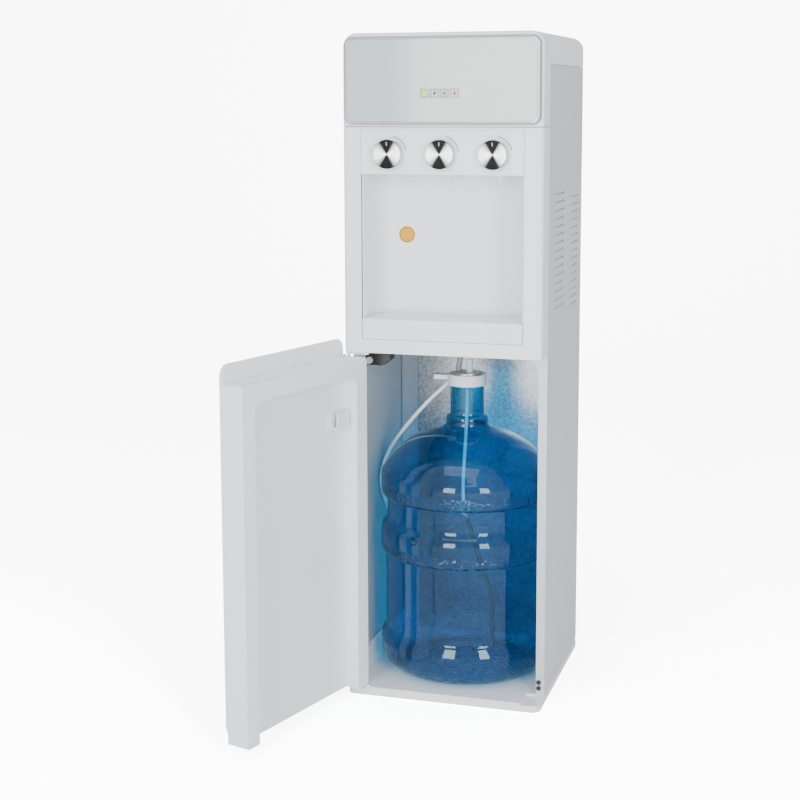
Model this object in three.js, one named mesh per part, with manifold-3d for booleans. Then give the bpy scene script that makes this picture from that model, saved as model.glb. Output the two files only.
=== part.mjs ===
// Bottom-loading water dispenser with its door open and a refill bottle inside.
// Millimetres, +Z up, front towards -Y, origin on the floor under the middle of the base.
import * as THREE from 'three';
import Module from 'manifold-3d';
import { mergeVertices } from 'three/addons/utils/BufferGeometryUtils.js';

const wasm = await Module();
wasm.setup();

// Cabinet
const halfWidth = 149;
const frontY = -152;
const backY = 152;
const totalHeight = 995;
const sheet = 1;
const shell = 2.5;
const gap = 0.3;
const frontEdgeRadius = 6;
const hoodCornerRadius = 20;
const seamY = -109;
const hoodSeamZ = 949.5;
const hoodBottomZ = 861.5;
const bezelTopZ = 860.5;
const bezelBottomZ = 529.5;
const flangeInnerX = 136;
const plateTopZ = 10;
const floorTopZ = 13;
const ledgeTopZ = 46;
const ceilingZ = 533;
const compartmentBackY = 141;
const postInnerX = 119.4;

// Display
const pocketDepth = 3;
const pocket = [-145.6, 145.6, 863.4, 989.6];
const frameOuter = [-145, 145, 864, 989];
const frameInner = [-140.8, 140.8, 868, 985];
const frameFrontY = -158.6;
const frameSlope = [3.6, 6];
const glassFrontY = -158.9;
const indicatorSide = 12.4;
const indicatorZ = 908.4;
const indicatorXs = {
  indicator_power: -22.6, indicator_fill: -8.05, indicator_cold: 6.45, indicator_hot: 21.15,
};

// Taps and niche
const tapXs = { hot: -78, warm: 0, cold: 78 };
const knobZ = 822;
const knobRadius = 21;
const spindleRadius = 4;
const spindleClearance = 0.1;
const tapPanelFrontY = -151.5;
const tapPanelBackY = -148;
const tapPanelZ = [792.8, 856.7];
const nozzleY = -112;
const nozzleRadius = 5.5;
const nicheHalfWidth = 121;
const nicheBackY = -70;
const nicheCornerRadius = 35;
const nicheFrontY = -147.5;
const nicheFloorZ = 550;
const wall = 2;
const grilleTopZ = 580.5;
const slotXs = [-72, 0, 72];

// Door, drawn closed and then turned open about the hinge pins
const doorAngle = -106;
const hingeX = -143.5;
const hingeY = -145.5;
const pinRadius = 2;
const pinClearance = 0.1;
const doorSkin = { x: 148, y0: -156, y1: -152.5, z0: 31, z1: 550 };
const doorLiner = { x: 147.5, y0: -152.2, y1: -117, z0: 18, z1: 523.5 };
const lipStartX = -138;
const lipStartZ = 524;
const recess = { x: 121, y: -139, top: 498, radius: 16 };

// Bottle and probe
const bottleX = 0;
const bottleY = 3;
const bottleWall = 1.6;
const probeTopZ = 478;
const tubeRadius = 3;
const hoseRadius = 3;
const suctionRadius = 4.5;
const switchX = -122.5;
const switchZ = 511.8;
const plungerRadius = 5.4;

// Fan
const fanX = -72;
const fanZ = 710;
const fanHalf = 40;

const steps = (radius) => Math.max(16, Math.min(40, Math.round(radius * 1.4 / 4) * 4));

// Geometry to solid and back
function solid(geometry) {
  const bare = geometry.index ? geometry : geometry.clone();
  bare.deleteAttribute('normal');
  bare.deleteAttribute('uv');
  const merged = mergeVertices(bare, 1e-4);
  const mesh = new wasm.Mesh({
    numProp: 3,
    vertProperties: new Float32Array(merged.attributes.position.array),
    triVerts: new Uint32Array(merged.index.array),
  });
  return new wasm.Manifold(mesh);
}

function toGeometry(body) {
  const mesh = body.getMesh();
  const geometry = new THREE.BufferGeometry();
  geometry.setAttribute('position', new THREE.BufferAttribute(new Float32Array(mesh.vertProperties), 3));
  geometry.setIndex(new THREE.BufferAttribute(new Uint32Array(mesh.triVerts), 1));
  geometry.computeVertexNormals();
  return geometry;
}

const join = (...bodies) => bodies.reduce((sum, body) => sum.add(body));
const cut = (body, ...tools) => tools.reduce((rest, tool) => rest.subtract(tool), body);

function box(x0, x1, y0, y1, z0, z1) {
  const geometry = new THREE.BoxGeometry(x1 - x0, y1 - y0, z1 - z0);
  return solid(geometry.translate((x0 + x1) / 2, (y0 + y1) / 2, (z0 + z1) / 2));
}

// Round bars along each axis
function barZ(radius, x, y, z0, z1) {
  const geometry = new THREE.CylinderGeometry(radius, radius, z1 - z0, steps(radius));
  return solid(geometry.rotateX(Math.PI / 2).translate(x, y, (z0 + z1) / 2));
}

function barY(radius, x, z, y0, y1) {
  const geometry = new THREE.CylinderGeometry(radius, radius, y1 - y0, steps(radius));
  return solid(geometry.translate(x, (y0 + y1) / 2, z));
}

function barX(radius, y, z, x0, x1) {
  const geometry = new THREE.CylinderGeometry(radius, radius, x1 - x0, steps(radius));
  return solid(geometry.rotateZ(Math.PI / 2).translate((x0 + x1) / 2, y, z));
}

// Outlines
function polygon(points) {
  return new THREE.Shape(points.map(([x, y]) => new THREE.Vector2(x, y)));
}

function roundedRect([x0, x1, y0, y1], [lowLeft, lowRight, highRight, highLeft]) {
  const outline = new THREE.Shape();
  outline.moveTo(x0 + lowLeft, y0);
  outline.lineTo(x1 - lowRight, y0);
  if (lowRight) outline.absarc(x1 - lowRight, y0 + lowRight, lowRight, -Math.PI / 2, 0, false);
  outline.lineTo(x1, y1 - highRight);
  if (highRight) outline.absarc(x1 - highRight, y1 - highRight, highRight, 0, Math.PI / 2, false);
  outline.lineTo(x0 + highLeft, y1);
  if (highLeft) outline.absarc(x0 + highLeft, y1 - highLeft, highLeft, Math.PI / 2, Math.PI, false);
  outline.lineTo(x0, y0 + lowLeft);
  if (lowLeft) outline.absarc(x0 + lowLeft, y0 + lowLeft, lowLeft, Math.PI, 1.5 * Math.PI, false);
  return outline;
}

const round4 = (radius) => [radius, radius, radius, radius];

// Plates drawn in one plane and thickened along the third axis
function extruded(outline, depth, bevelSize = 0, bevelDepth = bevelSize) {
  return new THREE.ExtrudeGeometry(outline, {
    depth: depth - 2 * bevelDepth,
    curveSegments: 5,
    bevelEnabled: bevelSize > 0,
    bevelSize,
    bevelThickness: bevelDepth,
    bevelOffset: -bevelSize,
    bevelSegments: 3,
  }).translate(0, 0, bevelDepth);
}

const plateY = (outline, y0, y1, bevelSize, bevelDepth) =>
  solid(extruded(outline, y1 - y0, bevelSize, bevelDepth).rotateX(Math.PI / 2).translate(0, y1, 0));

const plateZ = (outline, z0, z1) => solid(extruded(outline, z1 - z0).translate(0, 0, z0));

function plateX(outline, x0, x1) {
  const turn = new THREE.Matrix4().makeBasis(
    new THREE.Vector3(0, 1, 0), new THREE.Vector3(0, 0, 1), new THREE.Vector3(1, 0, 0));
  return solid(extruded(outline, x1 - x0).applyMatrix4(turn).translate(x0, 0, 0));
}

// Turned pieces: profile points are [radius, height]
function turnedZ(profile, x, y, segments) {
  const points = profile.map(([radius, height]) => new THREE.Vector2(radius, height));
  return solid(new THREE.LatheGeometry(points, segments).rotateX(Math.PI / 2).translate(x, y, 0));
}

// Height runs from the tap panel's face towards the front
function turnedFront(profile, x, z, faceY, segments) {
  const points = profile.map(([radius, height]) => new THREE.Vector2(radius, height));
  return solid(new THREE.LatheGeometry(points, segments).rotateX(Math.PI).translate(x, faceY, z));
}

// Round tube swept along a list of points
function swept(points, radius, sides, count) {
  const corners = points.map((point) => new THREE.Vector3(...point));
  const path = new THREE.CatmullRomCurve3(corners, false, 'centripetal');
  const ring = Array.from({ length: sides }, (_, i) => {
    const angle = (2 * Math.PI * i) / sides;
    return [radius * Math.cos(angle), radius * Math.sin(angle)];
  });
  const options = { steps: count, extrudePath: path, bevelEnabled: false };
  return solid(new THREE.ExtrudeGeometry(polygon(ring), options));
}

const material = (color, roughness, metalness) =>
  new THREE.MeshStandardMaterial({ color, roughness, metalness });

const materials = {
  casing: material('#e9ebec', 0.4, 0),
  liner: material('#eceeef', 0.55, 0),
  steel: material('#c3c7c9', 0.42, 0.4),
  galvanised: material('#b3b9bb', 0.4, 0.85),
  glass: material('#c3cdcc', 0.12, 0),
  chrome: material('#d4d6d8', 0.15, 1),
  zinc: material('#a9adb0', 0.35, 1),
  aluminium: material('#b9bdc0', 0.35, 1),
  black: material('#1b1c1e', 0.5, 0),
  green: material('#c9d84a', 0.4, 0),
  blue: material('#5d78c8', 0.4, 0),
  red: material('#c86a6a', 0.4, 0),
  bottle: material('#1d6fb4', 0.12, 0),
  clear: material('#c8d2d8', 0.2, 0),
  rubber: material('#3a3c3e', 0.8, 0),
  foam: material('#dfe2e4', 0.8, 0),
  board: material('#2f6b4a', 0.6, 0),
};

const group = new THREE.Group();
group.name = 'water_dispenser';

function add(name, body, look) {
  const mesh = new THREE.Mesh(toGeometry(body), materials[look]);
  mesh.name = name;
  group.add(mesh);
}

// Base with a raised floor, lower corner pads and side ledges
function baseTray() {
  const cornerRadius = 14;
  const ledgeInnerX = 140;
  const plate = plateZ(
    roundedRect([-halfWidth, halfWidth, -150, backY], [cornerRadius, cornerRadius, 0, 0]), 0, plateTopZ);
  const floor = box(-146.5, 146.5, -108, compartmentBackY - 0.5, plateTopZ - 1, floorTopZ);
  const sill = box(-nicheHalfWidth, nicheHalfWidth, -149, -107, plateTopZ - 1, floorTopZ);
  const ledges = [-1, 1].map((side) => {
    const [near, far] = [ledgeInnerX * side, 146.7 * side].sort((a, b) => a - b);
    return box(near, far, -108, 139, floorTopZ - 1, ledgeTopZ);
  });
  return join(plate, floor, sill, ...ledges);
}
add('base_tray', baseTray(), 'casing');

// Steel side: a folded sheet with flanges, a gusset and louvre slots
function sidePanel(side) {
  const inner = halfWidth - sheet;
  const z0 = plateTopZ + gap;
  const louvrePitch = 12;
  const columns = [[-62, 5.5, 593, 15], [62, 118, 583, 15]];
  const upper = box(inner, halfWidth, seamY + 0.5, backY, z0, hoodSeamZ - 0.5);
  const lower = plateZ(polygon([
    [flangeInnerX, seamY - 0.5], [halfWidth, seamY - 0.5], [halfWidth, backY], [137, backY],
    [137, backY - sheet], [inner, backY - sheet], [inner, seamY + 0.5], [flangeInnerX, seamY + 0.5],
  ]), z0, bezelBottomZ - 0.5);
  const gusset = plateY(polygon([
    [flangeInnerX + 1, 503], [flangeInnerX + 1, bezelBottomZ - 0.5], [125, bezelBottomZ - 0.5], [125, 525],
  ]), seamY - 0.5, seamY + 0.5);
  const slots = columns.flatMap(([y0, y1, bottom, rows]) =>
    Array.from({ length: rows }, (_, row) => {
      const z = bottom + row * louvrePitch;
      return box(inner - 1, halfWidth + 1, y0, y1, z - 1.1, z + 1.1);
    }));
  const screwHoles = [24, 33].map((z) => barY(1.9, 140.5, z, seamY - 2, seamY + 2));
  const heel = plateX(polygon([[139, z0 - 1], [backY + 1, z0 - 1], [backY + 1, 20]]), 130, halfWidth + 1);
  const panel = cut(join(upper, lower, gusset), ...slots, ...screwHoles, heel);
  return side > 0 ? panel : panel.mirror([1, 0, 0]);
}
add('side_panel_right', sidePanel(1), 'steel');
add('side_panel_left', sidePanel(-1), 'steel');

for (const [name, z] of [['flange_screw_upper', 33], ['flange_screw_lower', 24]]) {
  const head = barY(3.6, 140.5, z, seamY - 2.8, seamY - 0.8);
  add(name, join(head, barY(1.6, 140.5, z, seamY - 1, seamY + 0.3)), 'black');
}

// Rear sheet with a fan grille and cut-outs for the switches, gland and drain
const rockerZ = 880;
const rockerMidX = 70;
const glandX = 95;
const glandZ = 60;
const drainX = -95;
const drainZ = 600;
function rearPanel() {
  const fanSlots = Array.from({ length: 9 }, (_, row) => {
    const z = fanZ - 36 + row * 9;
    const reach = Math.sqrt(Math.max(0, 38 * 38 - (z - fanZ) * (z - fanZ))) + 4;
    return box(fanX - reach, fanX + reach, 148, 152, z - 2, z + 2);
  });
  return cut(
    box(-147, 147, 149.5, 150.5, 12, hoodSeamZ - 1.5), ...fanSlots,
    box(rockerMidX - 25.5, rockerMidX + 25.5, 148, 152, rockerZ - 11, rockerZ + 11),
    barY(8, glandX, glandZ, 148, 152), barY(9, drainX, drainZ, 148, 152));
}
add('rear_panel', rearPanel(), 'galvanised');

// Bottle compartment's back, corner posts and ceiling
const hoseHole = [-128, 160];
add('compartment_back', cut(
  box(-146.5, 146.5, compartmentBackY, compartmentBackY + sheet, floorTopZ + 0.5, ceilingZ - 1),
  barY(4.2, ...hoseHole, 130, 150)), 'galvanised');
add('corner_post_left', cut(
  box(-147, -postInnerX, 139.5, 140.7, floorTopZ + gap, ceilingZ - 1),
  barY(4.2, ...hoseHole, 130, 150)), 'steel');
add('corner_post_right', box(postInnerX, 147, 139.5, 140.7, floorTopZ + gap, ceilingZ - 1), 'steel');
const suctionX = -8;
const stubX = 4;
add('compartment_ceiling', cut(
  box(-146.5, 146.5, seamY + 1, compartmentBackY, ceilingZ, ceilingZ + 2),
  barZ(6, suctionX, bottleY, ceilingZ - 1, ceilingZ + 3),
  barZ(4, stubX, bottleY, ceilingZ - 1, ceilingZ + 3)), 'galvanised');

// Hood: one moulding that makes the top and the display's surround
function hood() {
  const outline = roundedRect(
    [-halfWidth, halfWidth, 800, totalHeight], [0, 0, hoodCornerRadius, hoodCornerRadius]);
  const hollow = roundedRect(
    [-halfWidth + shell, halfWidth - shell, 700, totalHeight - shell], [0, 0, 17.5, 17.5]);
  const outer = plateY(outline, frontY, backY + 10, frontEdgeRadius);
  return cut(
    outer,
    box(-200, 200, backY, 200, 700, 1100),
    plateY(hollow, frontY + pocketDepth + shell, backY - shell),
    box(-200, 200, -200, 200, 700, hoodBottomZ),
    box(-200, 200, seamY, 200, 700, hoodSeamZ),
    plateY(roundedRect(pocket, round4(13)), frontY - 5, frontY + pocketDepth));
}
add('hood', hood(), 'casing');

const displayBackY = frontY + pocketDepth - 0.2;
add('display_frame', cut(
  plateY(roundedRect(frameOuter, round4(12.5)), frameFrontY, displayBackY + 10, ...frameSlope),
  box(-200, 200, displayBackY, displayBackY + 20, 800, 1000),
  plateY(roundedRect(frameInner, round4(9)), frameFrontY - 5, displayBackY + 5)), 'chrome');

function squareAt(x, z, side, y0, y1) {
  return box(x - side / 2, x + side / 2, y0, y1, z - side / 2, z + side / 2);
}
const glassRect = frameInner.map((edge, i) => edge + (i % 2 ? -gap : gap));
add('display_glass', cut(
  plateY(roundedRect(glassRect, round4(8.7)), glassFrontY, displayBackY),
  ...Object.values(indicatorXs).map((x) =>
    squareAt(x, indicatorZ, indicatorSide + 0.6, glassFrontY - 1, displayBackY + 1))), 'glass');
const indicatorLooks = {
  indicator_power: 'green', indicator_fill: 'blue', indicator_cold: 'blue', indicator_hot: 'red',
};
for (const [name, x] of Object.entries(indicatorXs)) {
  add(name, squareAt(x, indicatorZ, indicatorSide, glassFrontY, displayBackY), indicatorLooks[name]);
}

// Bezel around the taps and the niche
function frontBezel() {
  const stripY = frontY + 0.8;
  const plan = roundedRect(
    [-halfWidth, halfWidth, stripY, seamY], [frontEdgeRadius, frontEdgeRadius, 0, 0]);
  const outer = plateZ(plan, bezelBottomZ, bezelTopZ);
  const face = plateY(roundedRect([-141, 141, bezelBottomZ, 856], [0, 0, 11, 11]), frontY, stripY + 1);
  return cut(
    join(outer, face),
    box(-146.5, 146.5, stripY + shell, seamY + 1, bezelBottomZ + shell, bezelTopZ - shell),
    box(-121.5, 121.5, frontY - 1, stripY + shell + 1, nicheFloorZ, 857));
}
add('front_bezel', frontBezel(), 'casing');

// Plan outline shared by the niche, the tap shelf, the tray and the grille
const nichePlan = (inset, y0) => roundedRect(
  [-nicheHalfWidth + inset, nicheHalfWidth - inset, y0, nicheBackY - inset],
  [0, 0, nicheCornerRadius - inset, nicheCornerRadius - inset]);

add('tap_panel', cut(
  join(
    box(-nicheHalfWidth, nicheHalfWidth, tapPanelFrontY, tapPanelBackY, ...tapPanelZ),
    plateZ(nichePlan(0, tapPanelBackY - 1), tapPanelZ[0], tapPanelZ[0] + shell)),
  ...Object.values(tapXs).flatMap((x) => [
    barZ(nozzleRadius + 1.2, x, nozzleY, 780, 800),
    barY(spindleRadius + 0.4, x, knobZ, -160, -140),
  ])), 'casing');

const knobProfile = [
  [0, -11], [spindleRadius, -11], [spindleRadius, 0.8], [knobRadius - 2, 0.8],
  [knobRadius, 10], [knobRadius, 13], [knobRadius - 1.5, 14.5], [0, 13],
];
for (const [name, x] of Object.entries(tapXs)) {
  add(`knob_${name}`, turnedFront(knobProfile, x, knobZ, tapPanelFrontY, 28), 'chrome');
  add(`tap_valve_${name}`, cut(
    join(barY(11, x, knobZ, tapPanelBackY + 2, -104), barZ(8, x, nozzleY, 797, knobZ)),
    barY(spindleRadius + spindleClearance, x, knobZ, -150, -139.5)), 'liner');
  add(`nozzle_${name}`, cut(
    barZ(nozzleRadius, x, nozzleY, 783, 796.7), barZ(3, x, nozzleY, 780, 800)), 'casing');
}

add('niche_liner', cut(
  plateZ(nichePlan(0, nicheFrontY), nicheFloorZ, tapPanelZ[0] - gap),
  plateZ(nichePlan(wall, nicheFrontY - 5), nicheFloorZ + shell, 800)), 'liner');

const trayBottomZ = nicheFloorZ + shell + gap;
add('drip_tray', join(
  cut(
    plateZ(nichePlan(wall + 1.8, -149), trayBottomZ, 578),
    plateZ(nichePlan(2 * wall + 1.8, -147), trayBottomZ + wall, 580)),
  box(-120.5, 120.5, tapPanelFrontY, tapPanelBackY, nicheFloorZ + 0.5, grilleTopZ)), 'liner');

// Slots fill an oval under each nozzle
function gratingSlots(x) {
  const middleY = -116;
  return [-2, -1, 0, 1, 2].map((row) => {
    const half = [20, 18, 12][Math.abs(row)];
    const y = middleY + row * 6;
    return box(x - half, x + half, y - 1.5, y + 1.5, 570, 590);
  });
}
add('drip_grille', cut(
  plateZ(nichePlan(wall + 2.8, tapPanelBackY + 0.6), 578 + gap, grilleTopZ),
  ...slotXs.flatMap(gratingSlots)), 'liner');

// Door pieces, closed
const openDoor = (body) => body
  .translate([-hingeX, -hingeY, 0])
  .rotate([0, 0, doorAngle])
  .translate([hingeX, hingeY, 0]);

function outerPanel() {
  const panel = plateY(
    roundedRect([-doorSkin.x, doorSkin.x, doorSkin.z0, doorSkin.z1], [14, 14, 16, 0]),
    doorSkin.y0, doorSkin.y1, 1.2);
  const corner = box(-160, lipStartX, -170, -140, lipStartZ, 600);
  const lipArc = cut(
    box(lipStartX - 1, lipStartX + 16, -170, -140, doorSkin.z1 - 16, 600),
    barY(16, lipStartX + 16, doorSkin.z1 - 16, -171, -139));
  return cut(panel, corner, lipArc);
}
add('door_outer_panel', openDoor(outerPanel()), 'casing');

function liner() {
  const { x, y0, y1, z0, z1 } = doorLiner;
  const body = plateY(roundedRect([-x, x, z0, z1], [4, 4, 8, 8]), y0, y1);
  const recessOutline = roundedRect(
    [-recess.x, recess.x, z0 - 70, recess.top], [0, 0, recess.radius, recess.radius]);
  const hollow = plateY(recessOutline, recess.y, y1 + 5);
  const bores = [[z0 - 5, 31], [510, z1 + 5]].map(([low, high]) =>
    barZ(pinRadius + pinClearance, hingeX, hingeY, low, high));
  const hingeSide = box(-x - 5, -x + 4, y0 - 1, y0 + 4, 0, 600);
  const edge = cut(hingeSide, barZ(4, -x + 4, y0 + 4, -1, 601));
  return cut(body, hollow, ...bores, edge);
}
add('door_liner', openDoor(liner()), 'liner');

add('probe_hanger', openDoor(cut(
  join(box(-116, -79, recess.y + gap, -136, 422, 447), box(-116, -86, -138, -127, 422, 447)),
  box(-111, -84, -136, -129.5, 425, 450))), 'casing');

// Hinge plates with their pins
const hingePlate = (z0, z1) => box(-147, -112, -149.5, seamY - 1.2, z0, z1);
add('top_hinge_plate', join(hingePlate(526, 529.2), barZ(pinRadius, hingeX, hingeY, 512, 527)), 'zinc');
add('bottom_hinge_plate', join(
  hingePlate(floorTopZ + gap, 15.6),
  box(-147, -122, -148, seamY - 1.2, plateTopZ + gap, 14),
  barZ(pinRadius, hingeX, hingeY, 14, 29)), 'zinc');

// Door switch under the ceiling
const switchOutline = polygon(
  [[-133, 503], [-104, 503], [-93, 512], [-93, ceilingZ - gap], [-133, ceilingZ - gap]]);
add('door_switch', cut(
  plateY(switchOutline, -104, -80),
  barY(3.3, switchX, switchZ, -110, -92)), 'black');
add('switch_plunger', join(
  barY(plungerRadius, switchX, switchZ, -116, -110), barY(3.2, switchX, switchZ, -111, -96)), 'steel');

// Bottle: outer outline from the punt to the mouth, and the same line moved in by the wall
const bottleOutline = [
  [0, 38], [9, 37], [16, 31], [45, 26], [85, 17.5], [103, 13.5], [116, 16.5], [127, 25], [133.5, 36],
  [135, 47], [135, 57], [133, 69], [128, 80], [127.4, 88], [127.4, 192], [128, 198], [131, 203], [134, 212],
  [134.5, 222], [134.3, 236], [131, 246], [126, 253], [125, 259], [125, 284], [126, 288], [130, 292],
  [134, 304], [134.5, 314], [133.5, 323], [129, 331], [114.5, 353], [92, 372], [62, 387], [40, 394],
  [33, 400], [33, 411], [26.5, 415], [26.5, 470],
];
const insideLine = bottleOutline.map(([radius, z], i) => {
  const before = bottleOutline[Math.max(i - 1, 0)];
  const after = bottleOutline[Math.min(i + 1, bottleOutline.length - 1)];
  const along = new THREE.Vector2(after[0] - before[0], after[1] - before[1]).normalize();
  return [Math.max(radius - bottleWall * along.y, 0), z + bottleWall * along.x];
});
insideLine[0] = [0, bottleOutline[0][1] + bottleWall];
add('bottle', turnedZ([...bottleOutline, ...insideLine.reverse()], bottleX, bottleY, 30), 'bottle');

// Probe: cap over the mouth with a handle and a hose barb, and a dip tube
const barbTurn = Math.atan2(0.73, 0.68) * 180 / Math.PI;
const barb = barZ(3.4, 0, 0, -13, 0).rotate([0, barbTurn, 0]).translate([-25, 5, 467]);
add('probe_cap', cut(
  join(
    barZ(30, bottleX, bottleY, 461, probeTopZ), box(-52, -20, -4, 10, 468, 475), barb),
  barZ(26.9, bottleX, bottleY, 450, 472),
  barZ(tubeRadius + 0.15, bottleX, bottleY, 470, 480)), 'casing');
add('probe_disc', barZ(24, bottleX, bottleY, probeTopZ + gap, 480.3), 'zinc');
add('probe_connector', join(
  barZ(5, stubX, bottleY, 480.6, 500), barZ(3, stubX, bottleY, 499, 545)), 'casing');
const tubeRoute = [
  [0, bottleY, probeTopZ], [0, bottleY, 440], [-2, bottleY, 380], [-6, bottleY, 300], [-4, bottleY, 262],
  [3, bottleY, 240], [16, bottleY, 197], [32, bottleY, 148], [40, bottleY, 124], [41, bottleY, 105],
  [41, bottleY, 40],
];
add('probe_tube', swept(tubeRoute, tubeRadius, 8, 20), 'clear');
const suctionRoute = [
  [-14, bottleY, 482], [-13, bottleY, 492], [suctionX, bottleY, 516], [suctionX, bottleY, 544],
];
add('suction_hose', swept(suctionRoute, suctionRadius, 8, 6), 'clear');

// Free hose from the probe to the grommet on the left post
const hoseRoute = [
  [-34.7, 5, 458], [-47, 5, 446.5], [-63, 5, 431], [-101, 10, 388], [-126, 12, 353], [-139, 8, 321],
  [-141, 4, 294], [-141, 30, 255], [-139, 70, 215], [-133, 100, 182], [-129, 122, 164], [-128, 134, 160],
  [-128, 146, 160],
];
add('return_hose', swept(hoseRoute, hoseRadius, 8, 32), 'casing');
add('hose_grommet', cut(
  barY(7.5, ...hoseHole, 136, 139.2), barY(hoseRadius + 0.5, ...hoseHole, 130, 150)), 'rubber');

// Water works above the compartment
add('cold_tank', box(-125, -20, -20, 95, 640, 780), 'foam');
add('hot_tank', barZ(42, 75, 40, 600, 740), 'steel');
add('peltier_module', box(fanX - 20, fanX + 20, 95.3, 99.3, fanZ - 20, fanZ + 20), 'foam');
add('heat_sink', join(
  box(fanX - fanHalf, fanX + fanHalf, 99.6, 105, fanZ - fanHalf, fanZ + fanHalf),
  ...[-35, -21, -7, 7, 21, 35].map((x) =>
    box(fanX + x - 1.5, fanX + x + 1.5, 104, 125, fanZ - fanHalf, fanZ + fanHalf))), 'aluminium');
const fanSquare = [fanX - fanHalf, fanX + fanHalf, fanZ - fanHalf, fanZ + fanHalf];
add('fan_frame', join(
  cut(
    plateY(roundedRect(fanSquare, round4(4)), 125.5, 141),
    barY(37, fanX, fanZ, 120, 145)),
  cut(
    join(
      barY(15, fanX, fanZ, 139, 141),
      box(fanX - 38, fanX + 38, 139, 141, fanZ - 2, fanZ + 2),
      box(fanX - 2, fanX + 2, 139, 141, fanZ - 38, fanZ + 38)),
    barY(2.1, fanX, fanZ, 130, 145))), 'black');
function fanRotor() {
  const flat = box(10, 34.5, -3.5, 3.5, -1.1, 1.1).rotate([35, 0, 0]);
  const blades = Array.from({ length: 7 }, (_, i) => flat.rotate([0, (360 / 7) * i, 0]));
  const hub = join(barY(14, 0, 0, -4.5, 4.5), barY(2, 0, 0, 4, 8));
  return join(hub, ...blades).translate([fanX, 132.5, fanZ]);
}
add('fan_rotor', fanRotor(), 'black');
add('water_pump', join(barX(16, 12, 564, -45, 15), box(-32, 2, -2, 26, 545, 560)), 'black');
add('control_board', box(138, 139.6, -40, 60, 780, 880), 'board');

// Rear fittings
add('cord_gland', cut(
  join(
    barY(7.8, glandX, glandZ, 143, 152),
    barY(11, glandX, glandZ, 150.8, 154),
    barY(6.5, glandX, glandZ, 153, 160)),
  barY(3.6, glandX, glandZ, 140, 165)), 'black');
add('drain_plug', join(
  barY(8.8, drainX, drainZ, 140, 151.2),
  barY(12, drainX, drainZ, 150.8, 155),
  barY(7, drainX, drainZ, 154, 159)), 'casing');

const rockerXs = { rocker_hot: rockerMidX - 12, rocker_cold: rockerMidX + 12 };
const rockerPivotY = 150;
const rockerHalf = 9.4;
add('rocker_frame', cut(
  join(
    box(rockerMidX - 28, rockerMidX + 28, 150.8, 152.3, rockerZ - 13.5, rockerZ + 13.5),
    box(rockerMidX - 25.2, rockerMidX + 25.2, 141, 151.5, rockerZ - 10.7, rockerZ + 10.7)),
  ...Object.values(rockerXs).flatMap((x) => [
    box(x - 10, x + 10, 140, 155, rockerZ - 9.6, rockerZ + 9.6),
    barX(1.3, rockerPivotY - 4, rockerZ, x - 11, x + 11),
  ])), 'black');
function rocker(x) {
  const outline = polygon([[7.5, 0], [8.6, 3.4], [7, 7], [-3, 8.6], [-3, -8.6], [7, -7], [8.6, -3.4]]);
  const body = plateX(outline, -rockerHalf, rockerHalf);
  return join(body, barX(1.2, 0, 0, -10.7, 10.7)).rotate([8, 0, 0]).translate([x, rockerPivotY - 4, rockerZ]);
}
for (const [name, x] of Object.entries(rockerXs)) add(name, rocker(x), 'black');

export default group;
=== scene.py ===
import math
import bpy
from mathutils import Euler, Matrix, Vector


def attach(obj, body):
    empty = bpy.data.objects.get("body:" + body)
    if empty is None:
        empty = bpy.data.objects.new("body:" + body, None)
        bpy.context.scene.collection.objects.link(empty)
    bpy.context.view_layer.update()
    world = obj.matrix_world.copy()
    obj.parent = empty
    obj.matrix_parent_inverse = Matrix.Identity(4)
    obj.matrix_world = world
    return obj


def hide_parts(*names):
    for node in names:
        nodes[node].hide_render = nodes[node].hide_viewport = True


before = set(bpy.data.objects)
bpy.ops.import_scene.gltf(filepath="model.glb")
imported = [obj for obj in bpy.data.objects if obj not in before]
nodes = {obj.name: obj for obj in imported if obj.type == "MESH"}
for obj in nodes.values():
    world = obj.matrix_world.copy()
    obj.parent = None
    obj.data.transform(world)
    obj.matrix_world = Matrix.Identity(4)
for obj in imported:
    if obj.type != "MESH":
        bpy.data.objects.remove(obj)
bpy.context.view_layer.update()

mergeGap = 0.00001  # vertices closer than this are one


# Selecting

def deselectAll():
    if bpy.context.object and bpy.context.object.mode != "OBJECT":
        bpy.ops.object.mode_set(mode="OBJECT")
    bpy.ops.object.select_all(action="DESELECT")


def pick(piece):
    deselectAll()
    piece.select_set(True)
    bpy.context.view_layer.objects.active = piece


def editMode():
    bpy.ops.object.mode_set(mode="EDIT")


def objectMode():
    bpy.ops.object.mode_set(mode="OBJECT")


def clearMarks(piece):  # nothing of the mesh selected
    for part in (piece.data.vertices, piece.data.edges, piece.data.polygons):
        part.foreach_set("select", [False] * len(part))


def joined(pieces):
    deselectAll()
    for piece in pieces:
        piece.select_set(True)
    bpy.context.view_layer.objects.active = pieces[0]
    bpy.ops.object.join()
    return pieces[0]


def turnAround(piece, degrees, middle):  # about the Y axis through middle
    pick(piece)
    editMode()
    bpy.ops.mesh.select_all(action="SELECT")
    bpy.ops.transform.rotate(value=math.radians(degrees), orient_axis="Y", center_override=middle)
    objectMode()


# Camera

cameraPlace = {
    "location": (0.5919, -2.3217, 0.8997),
    "turn": (math.radians(81.979), 0.0, math.radians(16.781)),
    "roll": -0.003,
    "lens": 70.36,
    "shiftY": -0.1,
}


def placeCamera():
    deselectAll()
    bpy.ops.object.camera_add(location=cameraPlace["location"])
    camera = bpy.context.object
    camera.name = "viewCamera"
    turn = Euler(cameraPlace["turn"]).to_matrix() @ Matrix.Rotation(cameraPlace["roll"], 3, "Z")
    camera.rotation_euler = turn.to_euler()
    camera.data.lens = cameraPlace["lens"]
    camera.data.sensor_width = 36
    camera.data.shift_y = cameraPlace["shiftY"]
    camera.data.clip_start = 0.05
    camera.data.clip_end = 60
    bpy.context.scene.camera = camera


placeCamera()
print("camera placed")


# Shared effects

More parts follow.
